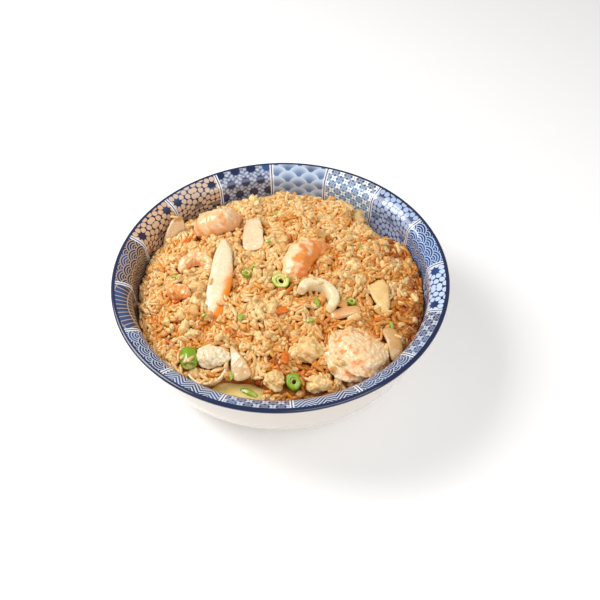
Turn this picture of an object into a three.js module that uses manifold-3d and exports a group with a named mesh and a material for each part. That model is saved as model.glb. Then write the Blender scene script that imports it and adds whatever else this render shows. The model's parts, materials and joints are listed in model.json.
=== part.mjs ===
// Fried rice with shrimp, squid, egg and onion, heaped in its wide ceramic bowl.
// Millimetres, +Z up. The origin is on the table, under the middle of the bowl's foot.
// +Y points to the back of the bowl, +X to its right.
import * as THREE from "three";
import { mergeVertices } from "three/addons/utils/BufferGeometryUtils.js";
import Module from "manifold-3d";

const wasm = await Module();
wasm.setup();

// ---- bowl ----
const RIM_RADIUS = 100;
const BOWL_HEIGHT = 62;
const FOOT_OUTER_RADIUS = 44;
const FOOT_INNER_RADIUS = 39.5;
const FOOT_HEIGHT = 7.5;
const FOOT_RECESS = 3.2;
const FLOOR_LEVEL = 8;
const SHOULDER_LEVEL = 53;
const OUTER_SHOULDER_RADIUS = 92.5;
const INNER_WALL_RADIUS = 88.3;
const LIP_RADIUS = 1.4;
const FLANGE_INNER_RADIUS = 91.2;
const FLANGE_INNER_LEVEL = 59.4;
const TURN_SEGMENTS = 40;
const WALL_STEPS = 7;

// ---- rice heap ----
const GAP = 0.4;
const HEAP_RADIUS = 87.5;
const EDGE_LEVEL = 42;
const CROWN_RISE = 17.5;
const DOME_POWER = 0.6;
const HEAP_GRID = 24;
const HEAP_CUT_LEVEL = 75;
const HEAP_TOLERANCE = 0.1;

// Low mounds and hollows of the heap: place, spread and height, in mm.
const MOUNDS = [
  { x: 41, y: 65, spread: 9, height: 6 },
  { x: 63, y: 56, spread: 10, height: -11 },
  { x: 6, y: 71, spread: 12, height: 2.5 },
  { x: -18, y: 62, spread: 9, height: 1.5 },
  { x: 47, y: 4, spread: 10, height: 2 },
  { x: -60, y: -20, spread: 12, height: 1.5 },
  { x: -26, y: -79, spread: 13, height: -6 },
  { x: -4, y: -70, spread: 8, height: 1.5 },
  { x: 24, y: -36, spread: 9, height: -2 },
  { x: -22, y: -28, spread: 11, height: 1.5 },
];

// Long shallow waves over the whole heap: wave numbers in rad/mm, phase and height.
const WAVES = [
  { kx: 0.21, ky: 0.09, phase: 0.4, height: 0.55 },
  { kx: -0.12, ky: 0.24, phase: 1.9, height: 0.5 },
  { kx: 0.33, ky: -0.27, phase: 3.1, height: 0.4 },
  { kx: 0.05, ky: 0.41, phase: 5.2, height: 0.3 },
];

// ---- colours ----
const CERAMIC = material(0xeef0f4, 0.2);
const RICE = material(0xd9ab6b, 0.6);
const SHRIMP = material(0xf0b48a, 0.45);
const SQUID = material(0xf1dfbb, 0.4);
const BAMBOO = material(0xf0d79a, 0.4);
const EGG = material(0xf2dfa6, 0.6);
const ONION = material(0xece2c6, 0.35);
const SCALLION = material(0x6fae2e, 0.4);

function material(color, roughness) {
  return new THREE.MeshStandardMaterial({ color, roughness, metalness: 0 });
}

// ---------------------------------------------------------------- solids

function solidOf(geometry) {
  const bare = geometry.clone();
  bare.deleteAttribute("normal");
  bare.deleteAttribute("uv");
  const merged = mergeVertices(bare, 1e-4);
  const mesh = new wasm.Mesh({
    numProp: 3,
    vertProperties: new Float32Array(merged.attributes.position.array),
    triVerts: new Uint32Array(merged.index.array),
  });
  return new wasm.Manifold(mesh);
}

function geometryOf(solid) {
  const mesh = solid.getMesh();
  const geometry = new THREE.BufferGeometry();
  geometry.setAttribute("position", new THREE.BufferAttribute(mesh.vertProperties, 3));
  geometry.setIndex(new THREE.BufferAttribute(mesh.triVerts, 1));
  geometry.computeVertexNormals();
  return geometry;
}

function turned(profile) {
  const geometry = new THREE.LatheGeometry(profile, TURN_SEGMENTS);
  geometry.rotateX(Math.PI / 2);
  return geometry;
}

function point(radius, level) {
  return new THREE.Vector2(radius, level);
}

// ---------------------------------------------------------------- bowl

function innerWall() {
  const curve = new THREE.CubicBezierCurve(
    point(INNER_WALL_RADIUS, SHOULDER_LEVEL + 2),
    point(INNER_WALL_RADIUS - 1.3, 30),
    point(INNER_WALL_RADIUS - 4.3, FLOOR_LEVEL + 0.5),
    point(30, FLOOR_LEVEL + 0.2),
  );
  return curve.getPoints(WALL_STEPS);
}

function outerWall() {
  const curve = new THREE.CubicBezierCurve(
    point(FOOT_OUTER_RADIUS + 3, FOOT_HEIGHT),
    point(86.5, FOOT_HEIGHT + 0.5),
    point(OUTER_SHOULDER_RADIUS - 1, 30),
    point(OUTER_SHOULDER_RADIUS, SHOULDER_LEVEL),
  );
  return curve.getPoints(WALL_STEPS);
}

function everted() {
  const underside = new THREE.QuadraticBezierCurve(
    point(OUTER_SHOULDER_RADIUS, SHOULDER_LEVEL),
    point(OUTER_SHOULDER_RADIUS + 1, BOWL_HEIGHT - 4),
    point(RIM_RADIUS - 0.8, BOWL_HEIGHT - 2.4),
  );
  const lip = [
    point(RIM_RADIUS, BOWL_HEIGHT - LIP_RADIUS),
    point(RIM_RADIUS - 0.4, BOWL_HEIGHT - 0.4),
    point(RIM_RADIUS - LIP_RADIUS, BOWL_HEIGHT),
  ];
  const shoulder = new THREE.QuadraticBezierCurve(
    point(FLANGE_INNER_RADIUS, FLANGE_INNER_LEVEL),
    point(INNER_WALL_RADIUS + 0.6, FLANGE_INNER_LEVEL - 0.8),
    point(INNER_WALL_RADIUS, SHOULDER_LEVEL + 2),
  );
  return [...underside.getPoints(3).slice(1), ...lip, ...shoulder.getPoints(3).slice(0, -1)];
}

function makeBowl() {
  const foot = [
    point(0, FOOT_RECESS),
    point(FOOT_INNER_RADIUS - 1, FOOT_RECESS),
    point(FOOT_INNER_RADIUS, 0),
    point(FOOT_OUTER_RADIUS, 0),
    point(FOOT_OUTER_RADIUS + 2, FOOT_HEIGHT - 3),
  ];
  const profile = [...foot, ...outerWall(), ...everted(), ...innerWall(), point(0, FLOOR_LEVEL)];
  const bowl = new THREE.Mesh(turned(profile), CERAMIC);
  bowl.name = "bowl";
  return bowl;
}

// ---------------------------------------------------------------- heap

function surfaceLevel(x, y) {
  const spread = Math.hypot(x, y) / HEAP_RADIUS;
  let level = EDGE_LEVEL + CROWN_RISE * Math.max(0, 1 - spread ** 2) ** DOME_POWER;
  for (const mound of MOUNDS) {
    const distance = Math.hypot(x - mound.x, y - mound.y) / mound.spread;
    level += mound.height * Math.exp(-(distance ** 2));
  }
  for (const wave of WAVES) {
    level += wave.height * Math.sin(wave.kx * x + wave.ky * y + wave.phase);
  }
  return level;
}

function surfaceNormal(x, y) {
  const reach = 6;
  const slopeX = (surfaceLevel(x + reach, y) - surfaceLevel(x - reach, y)) / (2 * reach);
  const slopeY = (surfaceLevel(x, y + reach) - surfaceLevel(x, y - reach)) / (2 * reach);
  return new THREE.Vector3(-slopeX, -slopeY, 1).normalize();
}

function terrain() {
  const width = 2 * (HEAP_RADIUS + 8);
  const depth = EDGE_LEVEL;
  const box = new THREE.BoxGeometry(width, width, depth, HEAP_GRID, HEAP_GRID, 1);
  const corners = box.attributes.position;
  for (let i = 0; i < corners.count; i++) {
    if (corners.getZ(i) > 0) {
      corners.setZ(i, surfaceLevel(corners.getX(i), corners.getY(i)));
    }
  }
  return box;
}

function cavity() {
  const wall = innerWall().reverse();
  const profile = [point(0, FLOOR_LEVEL + GAP)];
  for (const place of wall) {
    profile.push(point(place.x - GAP, place.y + GAP));
  }
  profile.push(point(INNER_WALL_RADIUS - GAP, HEAP_CUT_LEVEL), point(0, HEAP_CUT_LEVEL));
  return turned(profile);
}

// Pockets cut loose a few crumbs, such as the core of a scallion ring, which are left out.
function largestBody(solid) {
  const bodies = solid.decompose();
  bodies.sort((first, second) => second.volume() - first.volume());
  return bodies[0];
}

function makeHeap(pockets) {
  let heap = solidOf(cavity()).intersect(solidOf(terrain()));
  for (const pocket of pockets) {
    heap = heap.subtract(solidOf(pocket));
  }
  const mesh = new THREE.Mesh(geometryOf(largestBody(heap.simplify(HEAP_TOLERANCE))), RICE);
  mesh.name = "rice_heap";
  return mesh;
}

// ---------------------------------------------------------------- toppings

// A closed body of rounded sections along a path. halfWidth and halfHeight are functions of the
// place from 0 to 1; squareness 1 gives ellipses, less gives flatter faces. grow fattens it all round.
function sweep({ path, halfWidth, halfHeight, squareness = 1, sides = 10, steps = 16 }, grow) {
  const positions = [];
  const index = [];
  const up = new THREE.Vector3(0, 0, 1);
  const across = new THREE.Vector3();
  const above = new THREE.Vector3();
  const ahead = new THREE.Vector3();
  for (let step = 0; step <= steps; step++) {
    const place = (1 - Math.cos((Math.PI * step) / steps)) / 2;
    const centre = path(place);
    ahead.copy(path(Math.min(1, place + 0.01))).sub(path(Math.max(0, place - 0.01))).normalize();
    across.crossVectors(up, ahead).normalize();
    above.crossVectors(ahead, across);
    if (step === 0) {
      centre.addScaledVector(ahead, -grow);
    }
    if (step === steps) {
      centre.addScaledVector(ahead, grow);
    }
    for (let side = 0; side < sides; side++) {
      const angle = (2 * Math.PI * side) / sides;
      const sideways = rounded(Math.cos(angle), squareness) * (halfWidth(place) + grow);
      const upwards = rounded(Math.sin(angle), squareness) * (halfHeight(place) + grow);
      const corner = centre.clone().addScaledVector(across, sideways).addScaledVector(above, upwards);
      positions.push(corner.x, corner.y, corner.z);
    }
  }
  for (let step = 0; step < steps; step++) {
    for (let side = 0; side < sides; side++) {
      const a = step * sides + side;
      const b = step * sides + ((side + 1) % sides);
      index.push(a, b, b + sides, a, b + sides, a + sides);
    }
  }
  const last = steps * sides;
  for (let side = 1; side < sides - 1; side++) {
    index.push(0, side + 1, side, last, last + side, last + side + 1);
  }
  return closed(positions, index);
}

function closed(positions, index) {
  const geometry = new THREE.BufferGeometry();
  geometry.setAttribute("position", new THREE.Float32BufferAttribute(positions, 3));
  geometry.setIndex(index);
  geometry.computeVertexNormals();
  return geometry;
}

function rounded(value, squareness) {
  return Math.sign(value) * Math.abs(value) ** squareness;
}

// 0 at both ends of a piece, 1 over its middle; blunt 2 is an ellipse, more is blunter.
function roundEnds(place, blunt) {
  return Math.max(0, 1 - Math.abs(2 * place - 1) ** blunt) ** 0.5;
}

function blend(values, place) {
  const scaled = place * (values.length - 1);
  const below = Math.min(values.length - 2, Math.floor(scaled));
  return THREE.MathUtils.lerp(values[below], values[below + 1], scaled - below);
}

// An arc about the piece's middle. stand 0 curls flat on the heap, 90 arches up from it.
function arcPath(radius, degrees, stand) {
  const span = THREE.MathUtils.degToRad(degrees);
  const tilt = THREE.MathUtils.degToRad(stand);
  const middle = (1 + Math.cos(span / 2)) / 2;
  return (place) => {
    const angle = (place - 0.5) * span;
    const bulge = radius * (Math.cos(angle) - middle);
    return new THREE.Vector3(radius * Math.sin(angle), bulge * Math.cos(tilt), bulge * Math.sin(tilt));
  };
}

// A peeled, curled shrimp: thick at its head end, with the bulges of its segments.
function shrimp({ radius, degrees, stand, thickness, segments = 5 }) {
  return (grow) => {
    const girth = (place) => {
      const bulge = 1 + 0.07 * Math.cos(2 * Math.PI * segments * place);
      return blend(thickness, place) * roundEnds(place, 4) * bulge;
    };
    const path = arcPath(radius, degrees, stand);
    return sweep({ path, halfWidth: girth, halfHeight: girth, sides: 8, steps: 12 }, grow);
  };
}

// A flat slice: its widths along it, its thickness, and how far it arches and curves sideways.
function slice({ length, widths, thickness, arch = 0, curve = 0, sides = 8, steps = 10 }) {
  return (grow) => {
    const path = (place) => {
      const off = 1 - (2 * place - 1) ** 2;
      return new THREE.Vector3((place - 0.5) * length, curve * (off - 0.5), arch * (off - 0.5));
    };
    const halfWidth = (place) => (blend(widths, place) / 2) * roundEnds(place, 8);
    const halfHeight = (place) => (thickness / 2) * roundEnds(place, 10);
    return sweep({ path, halfWidth, halfHeight, squareness: 0.6, sides, steps }, grow);
  };
}

// Part of a ring cut across a squid's tube.
function openRing({ radius, degrees, wall, height }) {
  return (grow) => {
    const halfWidth = (place) => (wall / 2) * (0.7 + 0.3 * roundEnds(place, 6));
    const halfHeight = (place) => (height / 2) * (0.8 + 0.2 * roundEnds(place, 6));
    const path = arcPath(radius, degrees, 0);
    return sweep({ path, halfWidth, halfHeight, squareness: 0.6, sides: 8, steps: 12 }, grow);
  };
}

// A short cut length of spring onion, hollow.
function tube({ outer, inner, height }) {
  return (grow) => {
    const half = height / 2 + grow;
    const bevel = 0.5;
    const profile = [
      point(inner - grow, -half),
      point(outer - bevel + grow, -half),
      point(outer + grow, -half + bevel),
      point(outer + grow, half - bevel),
      point(outer - bevel + grow, half),
      point(inner - grow, half),
      point(inner - grow, -half),
    ];
    return new THREE.LatheGeometry(profile, 10).rotateX(Math.PI / 2);
  };
}

// An uneven lump with the given full sizes. bumps is the height of its unevenness, as a share.
function lump({ sizes, bumps = 0.12, pitch = 3, phase = 0, detail = 2 }) {
  return (grow) => {
    const ball = new THREE.IcosahedronGeometry(1, detail);
    const corners = ball.attributes.position;
    const corner = new THREE.Vector3();
    for (let i = 0; i < corners.count; i++) {
      corner.fromBufferAttribute(corners, i);
      const wave = Math.sin(pitch * corner.x + phase) + Math.sin(pitch * corner.y + 2.1 * phase + 1);
      const ripple = Math.sin(1.7 * pitch * (corner.z + corner.x) + phase);
      const share = 1 + (bumps * (wave + ripple)) / 2;
      const outward = corner.clone();
      corner.set(corner.x * sizes[0], corner.y * sizes[1], corner.z * sizes[2]).multiplyScalar(share / 2);
      corner.addScaledVector(outward, grow);
      corners.setXYZ(i, corner.x, corner.y, corner.z);
    }
    return ball;
  };
}

// Each topping: its form, the place of its middle on the heap, how far the middle lies above
// (+) or below (-) the heap's surface, its turn about the surface's normal and its lean, in degrees.
const TOPPINGS = [
  {
    name: "shrimp_back",
    material: SHRIMP,
    form: shrimp({ radius: 11.5, degrees: 160, stand: 55, thickness: [7.4, 8.4, 6.4] }),
    at: [-40.5, 49],
    rise: 0,
    turn: 202,
  },
  {
    name: "shrimp_centre",
    material: SHRIMP,
    form: shrimp({ radius: 16.5, degrees: 125, stand: 50, thickness: [8, 7.2, 5] }),
    at: [17, 12.5],
    rise: -1,
    turn: 59,
  },
  {
    name: "shrimp_left",
    material: SHRIMP,
    form: shrimp({ radius: 7.8, degrees: 225, stand: 15, thickness: [4.4, 4.8, 3.2] }),
    at: [-51, 11],
    rise: 0.5,
    turn: -8,
  },
  {
    name: "shrimp_small",
    material: SHRIMP,
    form: shrimp({ radius: 9, degrees: 105, stand: 35, thickness: [3.8, 4.6, 3.4] }),
    at: [-60, -10],
    rise: 0.3,
    turn: -17,
  },
  {
    name: "shrimp_front",
    material: SHRIMP,
    form: lump({ sizes: [35, 31, 17], bumps: 0.07, pitch: 3.4, phase: 1.3, detail: 3 }),
    at: [42.2, -55.2],
    rise: 1,
    turn: 37,
  },
  {
    name: "long_slice",
    material: BAMBOO,
    form: slice({ length: 61, widths: [10, 14, 14, 12, 4], thickness: 4.4, arch: 2.5, curve: -2.5 }),
    at: [-36.5, -1],
    rise: 1,
    turn: 85,
  },
  {
    name: "flat_slice",
    material: ONION,
    form: slice({ length: 28, widths: [14, 13, 8.5], thickness: 2.8, arch: 1.4 }),
    at: [-17, 35.5],
    rise: 1.3,
    turn: 91,
  },
  {
    name: "squid_ring",
    material: SQUID,
    form: openRing({ radius: 9.4, degrees: 215, wall: 4.8, height: 8.5 }),
    at: [22.5, -17],
    rise: 0,
    turn: -32,
    lean: -12,
  },
  {
    name: "squid_strip",
    material: SQUID,
    form: slice({ length: 18, widths: [5.6, 6.4, 5.2], thickness: 4, arch: 1 }),
    at: [37.5, -28.5],
    rise: 0.6,
    turn: 15,
  },
  {
    name: "egg_fold",
    material: EGG,
    form: slice({ length: 25, widths: [8, 13, 10, 5], thickness: 3.6, arch: 3, curve: 1.5 }),
    at: [58, -13.5],
    rise: 1,
    turn: -77,
    lean: 14,
  },
  {
    name: "egg_middle",
    material: EGG,
    form: lump({ sizes: [19, 14, 9], bumps: 0.16, pitch: 4.2, phase: 0.7 }),
    at: [15, -53.5],
    rise: 0.8,
    turn: 12,
  },
  {
    name: "egg_left",
    material: EGG,
    form: lump({ sizes: [11, 10, 8], bumps: 0.15, pitch: 4, phase: 2.2 }),
    at: [-3, -72.5],
    rise: 0.8,
    turn: 30,
  },
  {
    name: "egg_right",
    material: EGG,
    form: lump({ sizes: [14, 9.5, 8], bumps: 0.15, pitch: 3.8, phase: 4.1 }),
    at: [21.5, -73],
    rise: 0.8,
    turn: 8,
  },
  {
    name: "onion_chunk",
    material: ONION,
    form: lump({ sizes: [17, 14, 9], bumps: 0.14, pitch: 3.1, phase: 3.3 }),
    at: [-37.5, -55.5],
    rise: 1,
    turn: -10,
  },
  {
    name: "onion_arc",
    material: ONION,
    form: openRing({ radius: 11.5, degrees: 150, wall: 2.2, height: 5 }),
    at: [-39, -66.5],
    rise: 0.6,
    turn: 192,
  },
  {
    name: "onion_petal",
    material: ONION,
    form: slice({ length: 23, widths: [2, 4.5, 10, 12], thickness: 2.2, arch: 1.8, curve: 1 }),
    at: [-24, -59.5],
    rise: 1.2,
    turn: -70,
    lean: 16,
  },
  {
    name: "curl_slice",
    material: ONION,
    form: slice({ length: 22, widths: [7, 8.6, 8.6, 6], thickness: 3.2, arch: 3.4, curve: 1.5 }),
    at: [63, -46],
    rise: 1.6,
    turn: -76,
    lean: 10,
  },
  {
    name: "scallion_left",
    material: SCALLION,
    form: tube({ outer: 4.2, inner: 2.6, height: 11 }),
    at: [-51, -55.5],
    rise: 2,
    turn: 8,
    lean: 78,
  },
  {
    name: "scallion_centre",
    material: SCALLION,
    form: tube({ outer: 4.8, inner: 2.7, height: 7 }),
    at: [0, -6.5],
    rise: 1.4,
    turn: 20,
    lean: 24,
  },
  {
    name: "scallion_front",
    material: SCALLION,
    form: tube({ outer: 4.3, inner: 2.2, height: 6.5 }),
    at: [7.5, -74],
    rise: 1.6,
    turn: 0,
    lean: 8,
  },
];

function laid(mesh, { at, rise, turn, lean = 0 }) {
  const [x, y] = at;
  const normal = surfaceNormal(x, y);
  const up = new THREE.Vector3(0, 0, 1);
  const tilt = new THREE.Quaternion().setFromUnitVectors(up, normal);
  const spin = new THREE.Quaternion().setFromAxisAngle(up, THREE.MathUtils.degToRad(turn));
  const roll = new THREE.Quaternion().setFromAxisAngle(
    new THREE.Vector3(1, 0, 0),
    THREE.MathUtils.degToRad(lean),
  );
  mesh.quaternion.copy(tilt).multiply(spin).multiply(roll);
  mesh.position.set(x, y, surfaceLevel(x, y)).addScaledVector(normal, rise);
}

// A thin slice that leans on the bowl's wall at the back left, its foot in the rice.
const WALL_SLICE = {
  name: "wall_slice",
  material: ONION,
  form: slice({ length: 25, widths: [9, 10.5, 9, 5], thickness: 2.8, arch: -1.2 }),
  bearing: 146,
  radius: 84.4,
  level: 48,
  slant: 68,
};

function leaned(mesh, { bearing, radius, level, slant }) {
  const turn = THREE.MathUtils.degToRad(bearing);
  const rise = THREE.MathUtils.degToRad(slant);
  const inward = new THREE.Vector3(-Math.cos(turn), -Math.sin(turn), 0);
  const sideways = new THREE.Vector3(Math.sin(turn), -Math.cos(turn), 0);
  const length = sideways.clone().multiplyScalar(Math.cos(rise)).setZ(Math.sin(rise));
  const face = inward.clone();
  const width = new THREE.Vector3().crossVectors(face, length);
  mesh.quaternion.setFromRotationMatrix(new THREE.Matrix4().makeBasis(length, width, face));
  mesh.position.set(radius * Math.cos(turn), radius * Math.sin(turn), level);
}

function makeTopping(spec, place) {
  const mesh = new THREE.Mesh(spec.form(0), spec.material);
  mesh.name = spec.name;
  place(mesh, spec);
  mesh.updateMatrix();
  const pocket = spec.form(GAP).applyMatrix4(mesh.matrix);
  return { mesh, pocket };
}

// ---------------------------------------------------------------- the dish

const toppings = TOPPINGS.map((spec) => makeTopping(spec, laid));
toppings.push(makeTopping(WALL_SLICE, leaned));

const dish = new THREE.Group();
dish.add(makeBowl());
dish.add(makeHeap(toppings.map((topping) => topping.pocket)));
for (const topping of toppings) {
  dish.add(topping.mesh);
}

export default dish;
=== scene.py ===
"""Looks of the bowl of fried rice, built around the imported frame.

Blender works in metres, +Z up, +Y to the back of the bowl. Sizes below are in millimetres, as
in the CAD source, and MM turns them into metres where a mesh is made.
"""

import json
import math

import bmesh
import bpy
import numpy as np
from mathutils import Matrix, Quaternion, Vector, noise
from mathutils.bvhtree import BVHTree


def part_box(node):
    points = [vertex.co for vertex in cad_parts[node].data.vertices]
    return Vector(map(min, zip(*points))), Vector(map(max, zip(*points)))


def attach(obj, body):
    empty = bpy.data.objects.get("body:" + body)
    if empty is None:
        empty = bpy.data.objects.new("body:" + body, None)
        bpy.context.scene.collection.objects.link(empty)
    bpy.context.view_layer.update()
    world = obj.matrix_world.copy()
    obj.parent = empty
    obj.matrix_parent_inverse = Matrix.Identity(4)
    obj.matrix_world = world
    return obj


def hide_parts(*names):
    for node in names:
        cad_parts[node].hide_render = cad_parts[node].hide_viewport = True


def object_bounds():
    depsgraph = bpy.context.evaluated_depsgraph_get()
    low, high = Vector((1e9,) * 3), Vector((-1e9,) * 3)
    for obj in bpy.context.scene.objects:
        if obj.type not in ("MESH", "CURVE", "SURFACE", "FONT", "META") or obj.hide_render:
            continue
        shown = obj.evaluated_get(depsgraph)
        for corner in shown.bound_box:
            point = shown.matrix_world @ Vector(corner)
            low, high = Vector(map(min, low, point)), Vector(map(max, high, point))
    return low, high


MM = 0.001
SEED = 41

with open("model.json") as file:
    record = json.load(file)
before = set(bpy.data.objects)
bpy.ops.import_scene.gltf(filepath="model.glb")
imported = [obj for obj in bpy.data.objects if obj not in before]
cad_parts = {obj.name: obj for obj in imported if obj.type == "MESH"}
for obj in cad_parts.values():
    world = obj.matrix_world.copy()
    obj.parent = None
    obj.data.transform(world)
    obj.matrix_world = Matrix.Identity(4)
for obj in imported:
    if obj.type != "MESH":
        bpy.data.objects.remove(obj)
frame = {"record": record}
cad_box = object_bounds()


# ---------------------------------------------------------------- meshes


def mesh_of(name, corners, faces):
    """A smooth mesh from corners in millimetres and faces with three corners each."""
    mesh = bpy.data.meshes.new(name)
    corners = np.asarray(corners, np.float32) * MM
    faces = np.asarray(faces, np.int32)
    mesh.vertices.add(len(corners))
    mesh.vertices.foreach_set("co", corners.ravel())
    mesh.loops.add(faces.size)
    mesh.loops.foreach_set("vertex_index", faces.ravel())
    mesh.polygons.add(len(faces))
    mesh.polygons.foreach_set("loop_start", np.arange(0, faces.size, 3, dtype=np.int32))
    mesh.polygons.foreach_set("loop_total", np.full(len(faces), 3, np.int32))
    mesh.polygons.foreach_set("use_smooth", np.ones(len(faces), bool))
    mesh.update(calc_edges=True)
    return mesh


def add_value(mesh, name, values):
    attribute = mesh.attributes.new(name, "FLOAT", "POINT")
    attribute.data.foreach_set("value", np.asarray(values, np.float32).ravel())


def add_piece(mesh, material, replaced=()):
    piece = bpy.data.objects.new(mesh.name, mesh)
    bpy.context.scene.collection.objects.link(piece)
    mesh.materials.append(material)
    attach(piece, "root")
    if replaced:
        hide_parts(*replaced)
    return piece


def grid_faces(rows, columns, closed_rows=False):
    """Triangles of a grid of rows x columns corners whose columns close into rings."""
    row = np.arange(rows if closed_rows else rows - 1)[:, None]
    column = np.arange(columns)[None, :]
    following = (row + 1) % rows
    beside = (column + 1) % columns
    a = (row * columns + column).ravel()
    b = (row * columns + beside).ravel()
    c = (following * columns + beside).ravel()
    d = (following * columns + column).ravel()
    return np.concatenate([np.stack([a, b, c], 1), np.stack([a, c, d], 1)])


def cap_faces(first, columns, centre, flip):
    """A fan that closes one ring of corners with a corner at its middle."""
    ring = first + np.arange(columns)
    beside = first + (np.arange(columns) + 1) % columns
    middle = np.full(columns, centre)
    return np.stack([middle, beside, ring] if flip else [middle, ring, beside], 1)


def tube_faces(rings, sides):
    """Faces round rings of corners, with a fan at each end about the two corners that come after them."""
    last = rings * sides
    ends = [cap_faces(0, sides, last, True), cap_faces(last - sides, sides, last + 1, False)]
    return np.concatenate([grid_faces(rings, sides), *ends])


def circle(sides):
    """The cosines and sines of that many bearings about the middle."""
    turn = np.linspace(0, 2 * math.pi, sides, endpoint=False)
    return np.cos(turn), np.sin(turn)


def hoop(radius, level, cos, sin):
    return np.c_[radius * cos, radius * sin, np.full(len(cos), level)]


def smoothstep(low, high, value):
    share = np.clip((value - low) / (high - low), 0, 1)
    return share * share * (3 - 2 * share)


# ---------------------------------------------------------------- shaders


def arithmetic(operation, swapped=False):
    """A method of Value that adds a Math node of that operation."""

    def add_node(value, *others):
        operands = (value, *others)
        return value.graph.math(operation, *(operands[::-1] if swapped else operands))

    return add_node


class Value:
    """A number in a material's node tree. Arithmetic on it adds Math nodes."""

    def __init__(self, graph, socket):
        self.graph = graph
        self.socket = socket

    __add__ = __radd__ = arithmetic("ADD")
    __sub__ = arithmetic("SUBTRACT")
    __rsub__ = arithmetic("SUBTRACT", swapped=True)
    __mul__ = __rmul__ = arithmetic("MULTIPLY")
    __truediv__ = arithmetic("DIVIDE")
    __lt__ = arithmetic("LESS_THAN")
    floor = arithmetic("FLOOR")
    fract = arithmetic("FRACT")
    size = arithmetic("ABSOLUTE")
    cosine = arithmetic("COSINE")


class Graph:
    """A material made of nodes, with one Principled shader."""

    def __init__(self, name, **inputs):
        self.material = bpy.data.materials.new(name)
        self.material.use_nodes = True
        self.tree = self.material.node_tree
        self.shader = self.tree.nodes["Principled BSDF"]
        self.coordinates = self.tree.nodes.new("ShaderNodeTexCoord").outputs["Object"]
        for socket, value in inputs.items():
            self.shader.inputs[socket.replace("_", " ")].default_value = value

    def join(self, source, socket):
        if isinstance(source, Value):
            source = source.socket
        if isinstance(source, bpy.types.NodeSocket):
            self.tree.links.new(source, socket)
        else:
            socket.default_value = source

    def math(self, operation, *values):
        node = self.tree.nodes.new("ShaderNodeMath")
        node.operation = operation
        for value, socket in zip(values, node.inputs):
            self.join(value, socket)
        return Value(self, node.outputs[0])

    def node(self, kind, inputs):
        """A new node of that kind, with these values or sources at its inputs."""
        node = self.tree.nodes.new(kind)
        for name, source in inputs.items():
            self.join(source, node.inputs[name])
        return node

    def attribute(self, name):
        node = self.node("ShaderNodeAttribute", {})
        node.attribute_name = name
        return Value(self, node.outputs["Fac"])

    def axes(self):
        node = self.node("ShaderNodeSeparateXYZ", {"Vector": self.coordinates})
        return [Value(self, socket) for socket in node.outputs]

    def noise(self, per_mm, detail=2.0):
        """Noise with that many waves to a millimetre, about 0.5."""
        inputs = {"Vector": self.coordinates, "Scale": per_mm / MM, "Detail": detail}
        return Value(self, self.node("ShaderNodeTexNoise", inputs).outputs[0])

    def step(self, value, low, high, to_low=0.0, to_high=1.0):
        inputs = {"Value": value, "From Min": low, "From Max": high, "To Min": to_low, "To Max": to_high}
        node = self.node("ShaderNodeMapRange", inputs)
        node.interpolation_type = "SMOOTHSTEP"
        return Value(self, node.outputs[0])

    def mix(self, share, first, second):
        """A colour between two, which are colours or other mixes."""
        node = self.tree.nodes.new("ShaderNodeMix")
        node.data_type = "RGBA"
        self.join(share, node.inputs[0])
        for colour, socket in ((first, node.inputs[6]), (second, node.inputs[7])):
            self.join(colour if isinstance(colour, bpy.types.NodeSocket) else (*colour, 1), socket)
        return node.outputs[2]

    def blotches(self, per_mm, detail, low, high, first, second):
        """A colour that goes from one to another with noise."""
        return self.mix(self.step(self.noise(per_mm, detail), low, high), srgb(*first), srgb(*second))

    def bump(self, height, depth_mm, strength):
        inputs = {"Height": height, "Distance": depth_mm * MM, "Strength": strength}
        self.join(self.node("ShaderNodeBump", inputs).outputs[0], self.shader.inputs["Normal"])

    def colour(self, socket):
        self.join(socket, self.shader.inputs["Base Color"])

    def roughness(self, smoothest, roughest, per_mm=0.8, detail=2.0):
        """Roughness that varies over the piece between two values."""
        uneven = self.step(self.noise(per_mm, detail), 0.3, 0.7, smoothest, roughest)
        self.join(uneven, self.shader.inputs["Roughness"])


def srgb(red, green, blue):
    """A colour given as on a screen, 0 to 255, as linear light."""
    return tuple(
        c / 12.92 if c <= 0.04045 else ((c + 0.055) / 1.055) ** 2.4
        for c in (red / 255, green / 255, blue / 255)
    )


# ---------------------------------------------------------------- bowl

RIM_RADIUS = (cad_box[1].x - cad_box[0].x) / 2 / MM
BOWL_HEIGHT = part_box("bowl")[1].z / MM
FOOT_OUTER_RADIUS = 44
FOOT_INNER_RADIUS = 39.5
FOOT_HEIGHT = 7.5
FOOT_RECESS = 3.2
FOOT_EDGE = 0.6
FLOOR_LEVEL = 8
SHOULDER_LEVEL = 53
OUTER_SHOULDER_RADIUS = 92.5
INNER_WALL_RADIUS = 88.3
FLANGE_INNER_RADIUS = 91.2
FLANGE_INNER_LEVEL = 59.4
BOWL_SIDES = 256
PANELS = 16
PANEL_PHASE = 4.0
PANEL_RADIUS = 94

NAVY = srgb(24, 36, 74)
ROYAL = srgb(52, 80, 130)
GLAZE = srgb(238, 236, 234)


def bezier(steps, *points):
    """A curve through a plane that those points pull on, as steps + 1 points."""
    share = np.linspace(0, 1, steps + 1)[:, None]
    curve = np.asarray(points, float)[:, None, :]
    while len(curve) > 1:
        curve = curve[:-1] * (1 - share) + curve[1:] * share
    return curve[0]


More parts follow.
